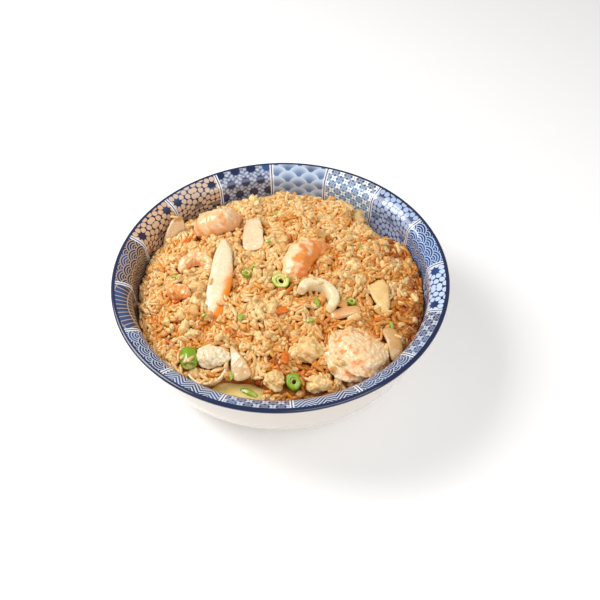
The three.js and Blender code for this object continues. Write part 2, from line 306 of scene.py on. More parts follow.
def bowl_profile():
    """Radius and level along the whole section, from the middle of the foot to the middle of the floor."""
    foot = [
        (0.05, FOOT_RECESS),
        (FOOT_INNER_RADIUS - 2, FOOT_RECESS),
        (FOOT_INNER_RADIUS - FOOT_EDGE, 0.9),
        (FOOT_INNER_RADIUS, 0.15),
        (FOOT_INNER_RADIUS + FOOT_EDGE, 0),
        (FOOT_OUTER_RADIUS - FOOT_EDGE, 0),
        (FOOT_OUTER_RADIUS, 0.3),
        (FOOT_OUTER_RADIUS + 1.7, FOOT_HEIGHT - 3),
    ]
    outer_shoulder = (OUTER_SHOULDER_RADIUS, SHOULDER_LEVEL)
    inner_shoulder = (INNER_WALL_RADIUS, SHOULDER_LEVEL + 2)
    lip_start = (RIM_RADIUS - 0.8, BOWL_HEIGHT - 2.4)
    lip_end = (RIM_RADIUS - 2.2, BOWL_HEIGHT - 0.12)
    outer = bezier(
        40,
        (FOOT_OUTER_RADIUS + 3, FOOT_HEIGHT),
        (86.5, FOOT_HEIGHT + 0.5),
        (OUTER_SHOULDER_RADIUS - 1, 30),
        outer_shoulder,
    )
    underside = bezier(10, outer_shoulder, (OUTER_SHOULDER_RADIUS + 1, BOWL_HEIGHT - 4), lip_start)
    lip = bezier(
        10,
        lip_start,
        (RIM_RADIUS + 0.35, BOWL_HEIGHT - 1.9),
        (RIM_RADIUS + 0.3, BOWL_HEIGHT + 0.1),
        lip_end,
    )
    flange = bezier(
        20,
        lip_end,
        (FLANGE_INNER_RADIUS + 2, FLANGE_INNER_LEVEL + 0.7),
        (INNER_WALL_RADIUS + 1.2, FLANGE_INNER_LEVEL - 0.4),
        inner_shoulder,
    )
    inner = bezier(
        36,
        inner_shoulder,
        (INNER_WALL_RADIUS - 1.3, 30),
        (INNER_WALL_RADIUS - 4.3, FLOOR_LEVEL + 0.5),
        (30, FLOOR_LEVEL + 0.2),
    )
    floor_middle = [(0.05, FLOOR_LEVEL)]
    return np.concatenate([foot, outer, underside[1:], lip[1:], flange[1:], inner[1:], floor_middle])


def make_bowl():
    profile = bowl_profile()
    cos, sin = circle(BOWL_SIDES)
    rings = [hoop(radius, level, cos, sin) for radius, level in profile]
    corners = np.concatenate([*rings, [(0, 0, profile[0, 1]), (0, 0, profile[-1, 1])]])
    mesh = mesh_of("glazed_bowl", corners, tube_faces(len(profile), BOWL_SIDES))
    lengths = np.r_[0, np.cumsum(np.linalg.norm(np.diff(profile, axis=0), axis=1))]
    inward = lengths - lengths[np.argmax(profile[:, 0])]
    add_value(mesh, "inward", np.r_[np.repeat(inward, BOWL_SIDES), inward[0], inward[-1]])
    add_piece(mesh, bowl_material(), ["bowl"])


def brick_cell(across, inward, width, height):
    """The place in a cell of rows laid like bricks: millimetres from the cell's middle, and the row."""
    row = (inward / height).floor()
    shift = (row * 0.5).fract()
    in_cell = ((across / width + shift).fract() - 0.5) * width
    in_row = ((inward / height).fract() - 0.5) * height
    return in_cell, in_row, row


def polar(graph, x, y):
    distance = graph.math("SQRT", x * x + y * y)
    return distance, graph.math("ARCTAN2", y, x)


def florets(graph, across, inward):
    """Round dark dots, each in a ring of pale petals."""
    x, y, _ = brick_cell(across, inward, 10.4, 8.6)
    distance, angle = polar(graph, x, y)
    petals = graph.step((angle * 9).cosine() - (distance - 4.5).size() * 0.7, -0.95, 0.2)
    outside_dot = graph.step(distance, 2.8, 3.3)
    speckle = graph.step(graph.noise(0.5, 2.0), 0.45, 0.6)
    return outside_dot * (petals * 0.55 + speckle * 0.2 + 0.2)


def rosettes(graph, across, inward):
    """Large flowers of petals in rings about a dark heart."""
    x, y, _ = brick_cell(across, inward + 3, 27, 24)
    distance, angle = polar(graph, x, y)
    rings = (distance - 2.4) / 4.0
    ring = graph.math("MINIMUM", graph.math("MAXIMUM", rings.floor(), 0.0), 3.0)
    aside = ((angle / (2 * math.pi) * (ring * 6 + 8) + ring * 0.5).fract() - 0.5) * 2
    along = (rings.fract() - 0.5) * 2
    petal = graph.step(aside * aside + along * along, 0.72, 1.02, 1.0, 0.0)
    return petal * graph.step(distance, 2.4, 2.9) * graph.step(distance, 14.2, 15.2, 1.0, 0.35)


def rays(graph, across, inward):
    """Fine pale lines that fan out from the bottom of the panel, with small arcs across them."""
    distance, angle = polar(graph, across, 46 - inward)
    line = ((angle * 13).fract() - 0.5).size()
    arc = ((distance / 9).fract() - 0.5).size()
    return graph.math("MAXIMUM", graph.step(line, 0.36, 0.44), graph.step(arc, 0.44, 0.48)) * 0.9


def scales(graph, across, inward, radius=6.4, lines=4):
    """Overlapping fans, each with rings about its middle."""
    pitch = radius / 2
    lowest = (inward / pitch).floor() + 2
    nearest = None
    for back in (2, 1, 0):
        row = lowest - back
        shift = (row * 0.5).fract()
        x = ((across / (2 * radius) + shift).fract() - 0.5) * (2 * radius)
        distance, _ = polar(graph, x, inward - row * pitch)
        if nearest is None:
            nearest = distance
        else:
            inside = distance < radius
            nearest = inside * distance + (1 - inside) * nearest
    share = nearest / radius
    rings = graph.step((share * lines).fract(), 0.56, 0.68) * graph.step(share, 0.16, 0.2)
    return rings, share


def lattice(graph, across, inward):
    """White four-petalled flowers in the diamonds of a blue lattice."""
    side = 8.6
    p = ((across + inward) / side).fract() - 0.5
    q = ((across - inward) / side).fract() - 0.5
    distance, angle = polar(graph, p, q)
    petals = distance - 0.1 * (angle * 4).cosine()
    flower = graph.step(petals, 0.26, 0.34, 1.0, 0.0) * graph.step(distance, 0.05, 0.09)
    edge = graph.math("MAXIMUM", p.size(), q.size())
    bars = graph.step(edge, 0.37, 0.41) * graph.step(edge, 0.455, 0.475, 1.0, 0.0)
    return graph.math("MAXIMUM", flower, bars * 0.5) + 0.06


def zigzag(graph, across, inward):
    """Pairs of white chevrons with a small bow in each."""
    wave = ((across / 11).fract() - 0.5).size() * 11
    lines = ((inward - wave) / 2.4).fract()
    return graph.step((lines - 0.5).size(), 0.2, 0.3)


# Panels from PANEL_PHASE degrees on, each an equal share of the turn: pattern, pale colour and ground.
# The pale colours are greyed and the grounds darkened as painted shade on the wall.
PANEL_PATTERNS = [
    ("scales", (178, 206, 246), (40, 68, 126)),
    ("rosettes", (172, 190, 224), (56, 78, 124)),
    ("lattice", (240, 250, 255), (74, 116, 166)),
    ("fans", (192, 208, 228), (72, 102, 152)),
    ("florets", (196, 206, 226), (36, 48, 86)),
    # Painted shade with a painted reflection of the rice: these four panels on the left are browned and
    # darker.
    ("rosettes", (212, 186, 164), (40, 40, 64)),
    ("rosettes", (216, 176, 140), (48, 34, 38)),
    ("scales", (186, 160, 138), (62, 48, 48)),
    ("rays", (190, 166, 146), (66, 54, 54)),
    ("scales", (196, 204, 220), (34, 46, 92)),
    ("zigzag", (192, 200, 216), (34, 44, 90)),
    ("lattice", (196, 204, 220), (36, 50, 98)),
    ("zigzag", (192, 200, 216), (34, 44, 90)),
    ("scales", (196, 204, 220), (34, 46, 92)),
    ("lattice", (196, 204, 220), (36, 50, 98)),
    ("rosettes", (198, 218, 250), (38, 58, 114)),
]


def bowl_material():
    graph = Graph("glazed_bowl", Roughness=0.16, Coat_Weight=0.35, Coat_Roughness=0.05)
    x, y, _ = graph.axes()
    inward = graph.attribute("inward")
    turn = graph.math("ARCTAN2", y, x) / (2 * math.pi)
    panel = (turn - PANEL_PHASE / 360 + 2) * PANELS
    index = graph.math("MODULO", panel.floor(), PANELS)
    width = 2 * math.pi * PANEL_RADIUS / PANELS
    across = (panel.fract() - 0.5) * width
    fan_lines, fan_share = scales(graph, across, inward)
    broad_lines, broad_share = scales(graph, across, inward, 7.6, 2)
    patterns = {
        "scales": fan_lines * 0.9,
        "fans": graph.step(broad_share, 0.25, 1.0, 0.15, 0.95) + broad_lines * 0.05,
        "rosettes": rosettes(graph, across, inward),
        "florets": florets(graph, across, inward),
        "lattice": lattice(graph, across, inward),
        "zigzag": zigzag(graph, across, inward),
        "rays": rays(graph, across, inward),
    }
    near_lip = graph.step(inward, 5, 11, 1.0, 0.0)
    washed = graph.step(graph.noise(0.05, 1.0), 0.42, 0.6)
    colour = None
    for number, (name, pale, ground) in enumerate(PANEL_PATTERNS):
        glazed = graph.mix(near_lip, srgb(*ground), graph.mix(washed, NAVY, ROYAL))
        tinted = graph.mix(patterns[name], glazed, srgb(*pale))
        if colour is None:
            colour = tinted
        else:
            here = graph.math("COMPARE", index, float(number), 0.5)
            colour = graph.mix(here, colour, tinted)
    from_edge = width / 2 - across.size()
    border = graph.step(from_edge, 1.05, 1.25, 1.0, 0.0)
    between = graph.step(from_edge, 0.3, 0.4, 1.0, 0.0)
    colour = graph.mix(border, colour, GLAZE)
    colour = graph.mix(between, colour, ROYAL)
    below_lip = graph.step(inward, 2.9, 3.2, 1.0, 0.0)
    colour = graph.mix(below_lip, colour, NAVY)
    outside = graph.step(inward, -2.3, -1.9, 1.0, 0.0)
    outer_glaze = graph.mix(graph.noise(0.02, 1.0), srgb(227, 218, 207), srgb(233, 225, 216))
    graph.colour(graph.mix(outside, colour, outer_glaze))
    graph.roughness(0.12, 0.22, 1.2, 3.0)
    graph.bump(graph.noise(0.06, 1.0), 0.25, 0.15)
    return graph.material


# ---------------------------------------------------------------- heap

HEAP_RADIUS = 87.5
EDGE_LEVEL = 42
CROWN_RISE = 17.5
DOME_POWER = 0.6

# Low mounds and hollows of the heap: x, y, spread and height.
MOUNDS = [
    (41, 65, 9, 6),
    (63, 56, 10, -11),
    (6, 71, 12, 2.5),
    (-18, 62, 9, 1.5),
    (47, 4, 10, 2),
    (-60, -20, 12, 1.5),
    (-26, -79, 13, -6),
    (-4, -70, 8, 1.5),
    (24, -36, 9, -2),
    (-22, -28, 11, 1.5),
]

# Long shallow waves over the heap: wave numbers in rad/mm, phase and height.
WAVES = [
    (0.21, 0.09, 0.4, 0.55),
    (-0.12, 0.24, 1.9, 0.5),
    (0.33, -0.27, 3.1, 0.4),
    (0.05, 0.41, 5.2, 0.3),
]


def surface_level(x, y):
    spread = np.hypot(x, y) / HEAP_RADIUS
    level = EDGE_LEVEL + CROWN_RISE * np.maximum(0, 1 - spread**2) ** DOME_POWER
    for middle_x, middle_y, width, height in MOUNDS:
        distance = np.hypot(x - middle_x, y - middle_y) / width
        level = level + height * np.exp(-(distance**2))
    for along_x, along_y, phase, height in WAVES:
        level = level + height * np.sin(along_x * x + along_y * y + phase)
    return level


def surface_normal(x, y, reach=6):
    slope_x = (surface_level(x + reach, y) - surface_level(x - reach, y)) / (2 * reach)
    slope_y = (surface_level(x, y + reach) - surface_level(x, y - reach)) / (2 * reach)
    return Vector((-slope_x, -slope_y, 1)).normalized()


# Grids over the heap: the side of a cell, and how far they reach from the middle.
CELL = 0.5
REACH = 90.0
COLUMNS = int(2 * REACH / CELL) + 1
NOTHING_THERE = -200.0
SKY_LEVEL = 200


def axis_places():
    return np.linspace(-REACH, REACH, COLUMNS)


def place_of(row, column):
    return column * CELL - REACH, row * CELL - REACH


def doubled(values):
    """A grid with twice the cells, read between the old ones."""
    old = np.arange(values.shape[0])
    new = np.linspace(0, values.shape[0] - 1, 2 * values.shape[0] - 1)
    rows = np.stack([np.interp(new, old, values[:, column]) for column in old], 1)
    return np.stack([np.interp(new, old, row) for row in rows], 0)


def soft_grid(scale, seed, octaves=3):
    """A grid of soft noise about 0, whose waves are about scale millimetres long."""
    coarse = axis_places()[::4]
    values = np.array(
        [
            [noise.fractal(Vector((x / scale, y / scale, seed)), 0.8, 2.1, octaves) for x in coarse]
            for y in coarse
        ]
    )
    return doubled(doubled(values))


def nodules(scale, seed):
    """A grid that is 1 on rounded tops about scale millimetres across and 0 in the clefts between."""
    coarse = axis_places()[::2]
    distances = np.array(
        [[noise.voronoi(Vector((x / scale, y / scale, seed)))[0][0] for x in coarse] for y in coarse]
    )
    return doubled(1 - np.clip(distances, 0, 1) ** 2)


class Surface:
    """The rice's surface as grids of levels in millimetres, with the toppings that lie on it."""

    def __init__(self, toppings):
        self.x, self.y = np.meshgrid(axis_places(), axis_places())
        self.radius = np.hypot(self.x, self.y)
        self.level = surface_level(self.x, self.y)
        self.toppings = doubled(levels_from_above(toppings, axis_places()[::2]))
        self.under_topping = self.toppings > 0
        lumps = 5.4 * (nodules(12, 3.3) - 0.7) + 2.8 * (nodules(6.5, 7.7) - 0.7)
        self.relief = lumps + 2.2 * soft_grid(18, 8.1)

    def index(self, x, y):
        column = np.clip(np.rint((np.asarray(x) + REACH) / CELL).astype(int), 0, COLUMNS - 1)
        row = np.clip(np.rint((np.asarray(y) + REACH) / CELL).astype(int), 0, COLUMNS - 1)
        return row, column


def levels_from_above(bodies, places):
    """The highest surface of these bodies over a square grid; well below 0 where there is none."""
    levels = np.full((len(places), len(places)), NOTHING_THERE)
    down = Vector((0, 0, -1))
    for body in bodies:
        low = body.corners.min(0)
        high = body.corners.max(0)
        tree = BVHTree.FromPolygons(body.corners.tolist(), body.faces.tolist())
        rows = np.flatnonzero((places > low[1]) & (places < high[1]))
        columns = np.flatnonzero((places > low[0]) & (places < high[0]))
        for row in rows:
            for column in columns:
                hit = tree.ray_cast(Vector((places[column], places[row], SKY_LEVEL)), down)[0]
                if hit is not None:
                    levels[row, column] = max(levels[row, column], hit.z)
    return levels


# ---------------------------------------------------------------- forms


class Body:
    """A closed form: corners in millimetres, triangles, and values at its corners for colours."""

    def __init__(self, corners, faces, **values):
        self.corners = np.asarray(corners, float)
        self.faces = np.asarray(faces, int)
        self.values = values

    def normals(self):
        a, b, c = (self.corners[self.faces[:, k]] for k in range(3))
        flat = np.cross(b - a, c - a)
        normals = np.zeros_like(self.corners)
        for k in range(3):
            np.add.at(normals, self.faces[:, k], flat)
        return normals / np.maximum(np.linalg.norm(normals, axis=1, keepdims=True), 1e-9)

    def noise(self, scale, seed, octaves=2):
        places = self.corners / scale + (seed, 2.3 * seed, -seed)
        return np.array([noise.fractal(Vector(place), 0.8, 2.1, octaves) for place in places])

    def curds(self, scale, seed):
        """About 1 on the tops of rounded nodules that are scale millimetres across, 0 between them."""
        places = self.corners / scale + (seed, 1.7 * seed, -seed)
        distances = np.array([noise.voronoi(Vector(place))[0][0] for place in places])
        return 1 - np.clip(distances, 0, 1) ** 2

    def pushed(self, outward):
        self.corners = self.corners + self.normals() * np.asarray(outward)[:, None]
        return self

    def moved(self, matrix, place):
        self.corners = self.corners @ np.array(matrix).T + np.array(place)
        return self

    def mesh(self, name):
        mesh = mesh_of(name, self.corners, self.faces)
        for key, values in self.values.items():
            add_value(mesh, key, values)
        return mesh


def joined(bodies):
    """Several bodies as one, each with the same kinds of values."""
    first = np.cumsum([0] + [len(body.corners) for body in bodies])
    faces = np.concatenate([body.faces + start for body, start in zip(bodies, first)])
    corners = np.concatenate([body.corners for body in bodies])
    values = {key: np.concatenate([body.values[key] for body in bodies]) for key in bodies[0].values}
    return Body(corners, faces, **values)


def rounded(value, squareness):
    return np.sign(value) * np.abs(value) ** squareness


def round_ends(place, blunt):
    """0 at both ends of a piece, 1 over its middle. blunt 2 is an ellipse, more is blunter."""
    return np.sqrt(np.maximum(0, 1 - np.abs(2 * place - 1) ** blunt))


def blend(values, place):
    """The value at a place from 0 to 1 between values spaced evenly, with its kinks eased."""
    known = np.linspace(0, 1, len(values))
    return np.mean([np.interp(place + shift, known, values) for shift in (-0.09, -0.04, 0, 0.04, 0.09)], 0)


def sweep(path, half_width, half_height, squareness=1.0, sides=36, steps=80):
    """A body of rounded sections along a path, as in the CAD, with its values along, side and top."""
    place = (1 - np.cos(np.linspace(0, math.pi, steps + 1))) / 2
    ahead = path(np.minimum(1, place + 0.01)) - path(np.maximum(0, place - 0.01))
    ahead /= np.linalg.norm(ahead, axis=1, keepdims=True)
    across = np.cross((0, 0, 1), ahead)
    across /= np.linalg.norm(across, axis=1, keepdims=True)
    above = np.cross(ahead, across)
    angle = np.linspace(0, 2 * math.pi, sides, endpoint=False)
    sideways = rounded(np.cos(angle), squareness)[None, :, None] * half_width(place)[:, None, None]
    upwards = rounded(np.sin(angle), squareness)[None, :, None] * half_height(place)[:, None, None]
    rings = path(place)[:, None] + across[:, None] * sideways + above[:, None] * upwards
    corners = np.concatenate([rings.reshape(-1, 3), [path(place[:1])[0], path(place[-1:])[0]]])
    return Body(
        corners,
        tube_faces(steps + 1, sides),
        along=np.r_[np.repeat(place, sides), 0, 1],
        side=np.r_[np.tile(np.cos(angle), steps + 1), 0, 0],
        top=np.r_[np.tile(np.sin(angle), steps + 1), 0, 0],
    )


def arc_path(radius, degrees, stand):
    """An arc about the piece's middle. stand 0 curls flat on the heap, 90 arches up from it."""
    span = math.radians(degrees)
    tilt = math.radians(stand)
    middle = (1 + math.cos(span / 2)) / 2

    def path(place):
        angle = (place - 0.5) * span
        bulge = radius * (np.cos(angle) - middle)
        return np.stack([radius * np.sin(angle), bulge * math.cos(tilt), bulge * math.sin(tilt)], 1)

    return path


def ball(subdivisions):
    form = bmesh.new()
    bmesh.ops.create_icosphere(form, subdivisions=subdivisions, radius=1)
    corners = [tuple(corner.co) for corner in form.verts]
    faces = [[corner.index for corner in face.verts] for face in form.faces]
    form.free()
    return np.array(corners), np.array(faces)


# ---------------------------------------------------------------- toppings


def shrimp(radius, degrees, stand, thickness, blush_side, seed, stain=1.0, segments=6):
    """A peeled, curled shrimp in overlapping segments.

    blush_side is where its orange lies about it, in degrees, and stain how strong it is.
    """

    def girth(place):
        step = (place * segments) % 1
        plate = np.minimum(step / 0.8, (1 - step) / 0.2)
        return blend(thickness, place) * round_ends(place, 4) * (0.975 + 0.06 * plate)

    body = sweep(arc_path(radius, degrees, stand), girth, girth, sides=48, steps=120)
    along, side, top = (body.values[key] for key in ("along", "side", "top"))
    bearing = math.radians(blush_side)
    facing = side * math.cos(bearing) + top * math.sin(bearing)
    band = smoothstep(0.35, 0.9, (along * segments) % 1)
    patches = body.noise(5.5, seed, 3)
    blush = stain * smoothstep(-0.3, 0.9, facing + 0.9 * patches) * (0.7 + 0.3 * band)
    body.values = {"blush": np.clip(blush + 0.25 * smoothstep(0.86, 1, along), 0, 1)}
    return body.pushed(0.7 * body.noise(4.2, seed + 4, 3) + 0.16 * body.noise(1.1, seed, 2))


def slice_of(length, widths, thickness, arch=0.0, curve=0.0, seed=1.0, blush=None, rough=0.25, fine=1.0):
    """A flat slice. blush gives its browned share from its along, side and top values."""

    def path(place):
        off = 1 - (2 * place - 1) ** 2
        return np.stack([(place - 0.5) * length, curve * (off - 0.5), arch * (off - 0.5)], 1)

    def half_width(place):
        return blend(widths, place) / 2 * round_ends(place, 8)

    def half_height(place):
        return thickness / 2 * round_ends(place, 10)

    body = sweep(path, half_width, half_height, 0.6, int(44 * fine), int(90 * fine))
    amount = 0 * body.values["along"]
    if blush:
        amount = blush(**body.values)
    patches = body.noise(4, seed, 3)
    body.values = {"blush": np.clip(amount + 0.14 * patches, 0, 1)}
    return body.pushed(rough * (1.1 * body.noise(9, seed, 2) + 0.3 * body.noise(2.4, seed, 2)))


def open_ring(radius, degrees, wall, height, seed=1.0):
    """Part of a ring cut across a squid's tube, or of an onion."""

    def half_width(place):
        return wall / 2 * (0.45 + 0.55 * round_ends(place, 14))

    def half_height(place):
        return height / 2 * (0.55 + 0.45 * round_ends(place, 14))

    body = sweep(arc_path(radius, degrees, 0), half_width, half_height, 0.5, 40, 96)
    edge = smoothstep(0.2, 0.9, body.values["side"])
    body.values = {"blush": np.clip(0.2 * edge + 0.25 * body.noise(4, seed, 2), 0, 1)}
    return body.pushed(0.18 * body.noise(3.5, seed, 2))


def curd(sizes, bumps, pitch, phase, nodule=2.4, relief=1.3, spots=0.2, fineness=5):
    """An uneven lump of nodules, with painted shade in the stain colour in the clefts between them. spots is
    how much of it is stained.
    """
    sphere, faces = ball(fineness)
    wave = np.sin(pitch * sphere[:, 0] + phase) + np.sin(pitch * sphere[:, 1] + 2.1 * phase + 1)
    ripple = np.sin(1.7 * pitch * (sphere[:, 2] + sphere[:, 0]) + phase)
    share = 1 + bumps * (wave + ripple) / 2
    body = Body(sphere * np.array(sizes) / 2 * share[:, None], faces)
    tops = body.curds(nodule, phase)
    stains = body.noise(4.5, phase, 3)
    # The clefts between the nodules take the stain colour as painted shade; the noise adds stains at random.
    blush = 0.45 * (1 - tops) + smoothstep(-0.1, 1.5, stains + spots)
    body.values = {"blush": np.clip(blush, 0, 1)}
    crumbly = 0.5 * relief * body.noise(0.7 * nodule, phase + 1, 3)
    return body.pushed(0.75 * relief * (tops - 0.75) + crumbly)


def turned_ring(outer, inner, height, seed, sides=48):
    """A cut length of spring onion. Its blush is 1 at its skin and 0 at its core."""
    half = height / 2
    bevel = min(0.5, (outer - inner) / 3)
    profile = [
        (inner, -half + bevel),
        (inner + bevel, -half),
        (outer - bevel, -half),
        (outer, -half + bevel),
        (outer, 0),
        (outer, half - bevel),
        (outer - bevel, half),
        (inner + bevel, half),
        (inner, half - bevel),
        (inner, 0),
    ]
    turn = np.linspace(0, 2 * math.pi, sides, endpoint=False)
    squash = 1 + 0.1 * np.cos(2 * turn + seed) + 0.03 * np.sin(5 * turn + seed)
    rings = [hoop(radius * squash, level, np.cos(turn), np.sin(turn)) for radius, level in profile]
    skin = [(radius - inner) / (outer - inner) for radius, level in profile]
    body = Body(
        np.concatenate(rings),
        grid_faces(len(profile), sides, closed_rows=True),
        blush=np.repeat(skin, sides),
    )
    return body.pushed(0.08 * body.noise(1.5, seed, 2))


def scallion(outer, inner, height, seed, leaves=1, green=1.0):
    """A ring of spring onion with the smaller rings of its inner leaves. green is how green it is."""
    rings = [turned_ring(outer, inner, height, seed)]
    for leaf in range(1, leaves):
        shrunk = 1 - 0.42 * leaf
        smaller = turned_ring(outer * shrunk, inner * shrunk, height * 0.92, seed + leaf)
        rings.append(smaller.moved(Matrix.Identity(3), (0.25, -0.2, -0.1)))
    whole = joined(rings)
    whole.values["blush"] = np.clip(whole.values["blush"] * 0.7 + green - 0.7, 0, 1)
    return whole


AHEAD = (1, 0, 0)
UPWARD = (0, 0, 1)


def turned(degrees, axis=UPWARD):
    return Quaternion(axis, math.radians(degrees))


def laid(body, at, rise, turn, lean=0.0):
    """The body on the heap there, rise above its surface, turned about its normal and leaned."""
    normal = surface_normal(*at)
    tilt = Vector((0, 0, 1)).rotation_difference(normal)
    place = Vector((*at, surface_level(*at))) + normal * rise
    return body.moved((tilt @ turned(turn) @ turned(lean, AHEAD)).to_matrix(), place)


def leaned(body, bearing, radius, level, slant, twist):
    """The body on end against the bowl's wall, twisted about its length."""
    turn = math.radians(bearing)
    rise = math.radians(slant)
    face = Vector((-math.cos(turn), -math.sin(turn), 0))
    length = Vector((math.sin(turn), -math.cos(turn), 0)) * math.cos(rise)
    length.z = math.sin(rise)
    matrix = Matrix((length, face.cross(length), face)).transposed()
    body.moved(Matrix.Rotation(math.radians(twist), 3, "X"), (0, 0, 0))
    return body.moved(matrix, (radius * math.cos(turn), radius * math.sin(turn), level))


def browned_edge(along, side, top):
    """Browned along its right edge, most at the end nearest the front."""
    across = -rounded(side, 0.6)
    edge = smoothstep(-0.1, 1.0, across) * smoothstep(0.85, 0.3, along)
    return 1.05 * edge + 0.9 * smoothstep(0.25, 0.0, along) * smoothstep(-0.9, 0.6, across)


def dulled(along, side, top):
    return 0.55 + 0.15 * side


def browned_tip(along, side, top):
    return 0.9 * smoothstep(0.82, 0.97, along)


def stained(along, side, top):
    return 0.8 + 0.2 * side


def tinged(along, side, top):
    return 0.32 + 0.15 * side


MASS_MIDDLE = (42.2, -55.2)


def make_toppings():
    """Every topping's body by its CAD node, in the order of the CAD."""
    return {
        "shrimp_back": laid(shrimp(11.5, 160, 55, [7.6, 8.8, 6.8], 20, 1.3, 0.6), (-40.5, 49), 0, 202),
        "shrimp_centre": laid(shrimp(18, 135, 42, [9.8, 9, 6.4], 172, 2.9, 1.3), (17, 12.5), -1.8, 50),
        "shrimp_left": laid(shrimp(7.8, 225, 15, [4.4, 4.8, 3.2], 150, 3.4, 0.7), (-51, 11), 0.5, -8),
        "shrimp_small": laid(shrimp(9, 105, 35, [3.8, 4.6, 3.4], 120, 5.1), (-60, -10), 0.3, -17),
        "shrimp_front": laid(
            curd((38, 33, 13), 0.11, 4.4, 1.3, nodule=2.3, relief=1.0, spots=0.15, fineness=6),
            MASS_MIDDLE,
            0.6,
            37,
        ),
        "long_slice": laid(
            slice_of(61, [10, 14, 14, 12, 4], 4.4, 2.5, -2.5, 1.1, browned_edge, 0.4), (-36.5, -1), 1, 85
        ),
        "flat_slice": laid(slice_of(28, [14, 13, 8.5], 2.8, 1.4, 0, 4.2, tinged, 0.5), (-17, 35.5), 1.3, 91),
        "squid_ring": laid(open_ring(10, 215, 5.8, 8.5, 2.0), (22.5, -17), 3, -32, -12),
        "squid_strip": laid(
            slice_of(18, [5.6, 6.4, 5.2], 4, 1, 0, 6.1, stained), (37.5, -28.5), 1.8, 15
        ),
        "egg_fold": laid(
            slice_of(26, [10, 13, 9, 4], 3.6, 3, 1.5, 7.3, tinged, 1.0), (58, -13.5), 1, -77, 14
        ),
        "egg_middle": laid(curd((20, 15, 10), 0.18, 4.2, 0.7), (15, -53.5), 0.8, 12),
        "egg_left": laid(curd((11.5, 10.5, 8), 0.18, 4, 2.2, 2.2), (-3, -72.5), 0.8, 30),
        "egg_right": laid(curd((14.5, 10, 8), 0.18, 3.8, 4.1, 2.2), (21.5, -73), 0.8, 8),
        "onion_chunk": laid(
            curd((17.5, 14.5, 9.5), 0.16, 3.1, 3.3, nodule=2.8, relief=1.2, spots=-0.1),
            (-37.5, -55.5),
            1,
            -10,
        ),
        "onion_arc": laid(open_ring(11.5, 150, 1.6, 4.4, 5.0), (-39, -66.5), 0.6, 192),
        "onion_petal": laid(
            slice_of(23, [2, 4.5, 10, 12], 1.7, 1.8, 1, 8.8, dulled, 0.6), (-24, -59.5), 1.2, -70, 16
        ),
        "curl_slice": laid(
            slice_of(22, [7, 8.6, 8.6, 6], 3.2, 3.4, 1.5, 9.4, stained), (63, -46), 1.6, -76, 10
        ),
        "scallion_left": laid(scallion(4.2, 2.6, 11, 0.3, 2, 1.0), (-51, -55.5), 2, 8, 78),
        "scallion_centre": laid(scallion(4.8, 2.7, 7, 1.2, 2, 0.7), (0, -6.5), 1.4, 20, 24),
        "scallion_front": laid(scallion(4.3, 2.2, 6.5, 2.6, 2, 1.2), (7.5, -74), 1.6, 0, 8),
        "wall_slice": leaned(
            slice_of(29, [13, 15, 12, 6], 2.8, -1.2, 0, 2.5, browned_tip), 146, 81.6, 47.5, 68, -26
        ),
    }


# Each kind of topping: its pale colour, its stain, roughness, coat and the fineness of its relief.
TOPPING_LOOKS = {
    "shrimp": ((252, 222, 178), (240, 146, 60), 0.32, 0.55, 0.9),
    "squid": ((255, 238, 196), (224, 164, 104), 0.26, 0.65, 0.4),
    "bamboo": ((240, 226, 194), (238, 138, 16), 0.32, 0.45, 0.6),
    "egg": ((242, 210, 148), (224, 160, 80), 0.44, 0.3, 1.2),
    "onion": ((243, 225, 192), (206, 156, 92), 0.26, 0.6, 0.6),
    "scallion": ((242, 240, 148), (126, 162, 8), 0.24, 0.6, 0.4),
}


def topping_material(slot):
    pale, stain, rough, coat, relief = TOPPING_LOOKS[slot]
    graph = Graph(
        slot,
        Subsurface_Weight=0.35,
        Subsurface_Radius=(1.0, 0.75, 0.5),
        Subsurface_Scale=0.0018,
        Coat_Weight=coat,
        Coat_Roughness=0.12,
    )
    blush = graph.attribute("blush") + (graph.noise(0.5, 3.0) - 0.5) * 0.25
    mottled = graph.blotches(0.9, 3.0, 0.35, 0.75, pale, darker(pale))
    graph.colour(graph.mix(graph.step(blush, 0.08, 0.95), mottled, srgb(*stain)))
    graph.roughness(rough - 0.06, rough + 0.1)
    graph.bump(graph.noise(0.9, 3.0), 0.25 * relief, 0.6)
    return graph.material


def darker(colour):
    """The same colour with less green and still less blue in it."""
    return tuple(share * part for share, part in zip((0.96, 0.92, 0.84), colour))


def add_toppings(bodies):
    slots = {entry["node"]: entry["material_slot"] for entry in frame["record"]["subparts"]}
    materials = {slot: topping_material(slot) for slot in TOPPING_LOOKS}
    for name, body in bodies.items():
        mesh = body.mesh(name + "_fine")
        add_piece(mesh, materials[slots[name]], [name])
    return materials


# ---------------------------------------------------------------- grains

GRAIN_SIDES = 8
GRAIN_RINGS = 6
GRAIN_TRIES = 12000

# The mean, spread, least and greatest of the grains' length and width.
GRAIN_LENGTHS = (6.6, 1.1, 3.6, 8.6)
GRAIN_WIDTHS = (2.5, 0.22, 2.0, 3.1)

# The core lies this far under the rice's surface, and shows this share of its lumps.
CORE_DEPTH = 5.2
CORE_RELIEF = 0.7

# The room kept between a grain's ends and the bowl's wall.
WALL_CLEARANCE = 0.6

# Grains fill the heap up to a target level, which is no higher than HIGHEST, and may stand a little proud.
HIGHEST = 64.6
TARGET_DROP = 1.0
PROUD = 0.7

# Grains from the palest kind to the most browned and shaded, and the warmth and painted shade at which each
# next kind starts. Grains in the hollows, deep in the heap and towards the right get the darker kinds as
# painted shade.
KINDS = ["pale", "golden", "amber", "browned_and_shaded"]
WARMTH_AND_SHADE_STEPS = [-0.15, 0.6, 1.4]

# How far the large lump at the front reaches. The rice may overlap its edge.
MASS_REACH = 17.0


